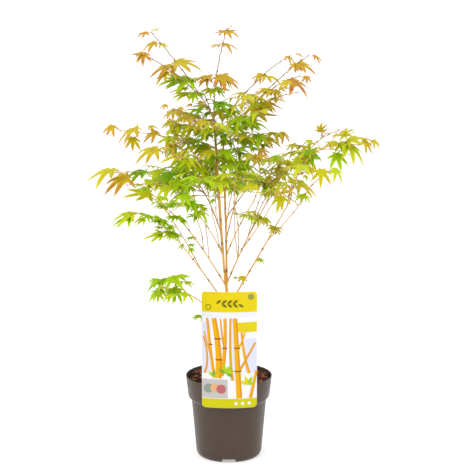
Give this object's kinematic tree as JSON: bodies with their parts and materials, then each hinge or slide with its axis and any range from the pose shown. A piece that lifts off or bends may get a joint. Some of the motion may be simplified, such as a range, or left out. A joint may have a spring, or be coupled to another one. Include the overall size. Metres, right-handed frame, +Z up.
{
  "type": "potted japanese maple",
  "caption": "Young japanese maple shrub with slim orange stems and airy palmate foliage, green below and orange at the tips, in a round nursery pot with a card label.",
  "frame": {"origin": "middle of the pot's flat underside", "axes": "+Z up, +X to the right of the pot as seen from the side where the label hangs, -Y towards that side"},
  "size_m": [0.6239, 0.4697, 0.9403],
  "materials": {
    "pot_plastic": "satin moulded grey-brown plastic",
    "potting_mix": "rough bark chips",
    "label_card": "coated card, yellow and white",
    "bark": "smooth orange bark",
    "foliage": "thin leaves, green turning orange at the shoot tips"
  },
  "bodies": {
    "root": {"pot": "pot_plastic", "soil": "potting_mix", "label": "label_card", "trunk": "bark", "leader_left": "bark", "leader_right": "bark", "bough_top_left": "bark", "bough_top_right": "bark", "bough_left_low": "bark", "bough_left_fork": "bark", "bough_right_low": "bark", "bough_right_up": "bark", "bough_right_front": "bark", "bough_left_front": "bark", "bough_right_mid": "bark", "bough_back_right": "bark", "bough_left_back": "bark", "bough_back": "bark", "stem_left": "bark", "stem_left_fork": "bark", "stem_right": "bark", "stem_right_fork": "bark", "stem_low_left": "bark", "foliage_top_centre": "foliage", "foliage_top_left": "foliage", "foliage_top_left_side": "foliage", "foliage_top_right_high": "foliage", "foliage_top_right": "foliage", "foliage_top_right_side": "foliage", "foliage_upper_left": "foliage", "foliage_left_high": "foliage", "foliage_left_mid": "foliage", "foliage_left_wide": "foliage", "foliage_left_wide_low": "foliage", "foliage_left_front": "foliage", "foliage_left_low": "foliage", "foliage_left_inner": "foliage", "foliage_left_chain": "foliage", "foliage_left_shelf": "foliage", "foliage_low_left": "foliage", "foliage_right_reach": "foliage", "foliage_right_crest": "foliage", "foliage_right_reach_low": "foliage", "foliage_right_inner": "foliage", "foliage_right_front": "foliage", "foliage_centre_front": "foliage", "foliage_right_mid_front": "foliage", "foliage_back_right": "foliage", "foliage_centre_right": "foliage", "foliage_centre_high_left": "foliage", "foliage_centre_high_right": "foliage", "foliage_centre_right_low": "foliage", "foliage_right_sprig": "foliage", "foliage_back_left": "foliage", "foliage_back_low": "foliage", "foliage_back_high": "foliage", "foliage_back_wide_right": "foliage", "foliage_back_wide_left": "foliage", "foliage_front_left": "foliage", "foliage_front_high": "foliage"}
  },
  "joints": []
}
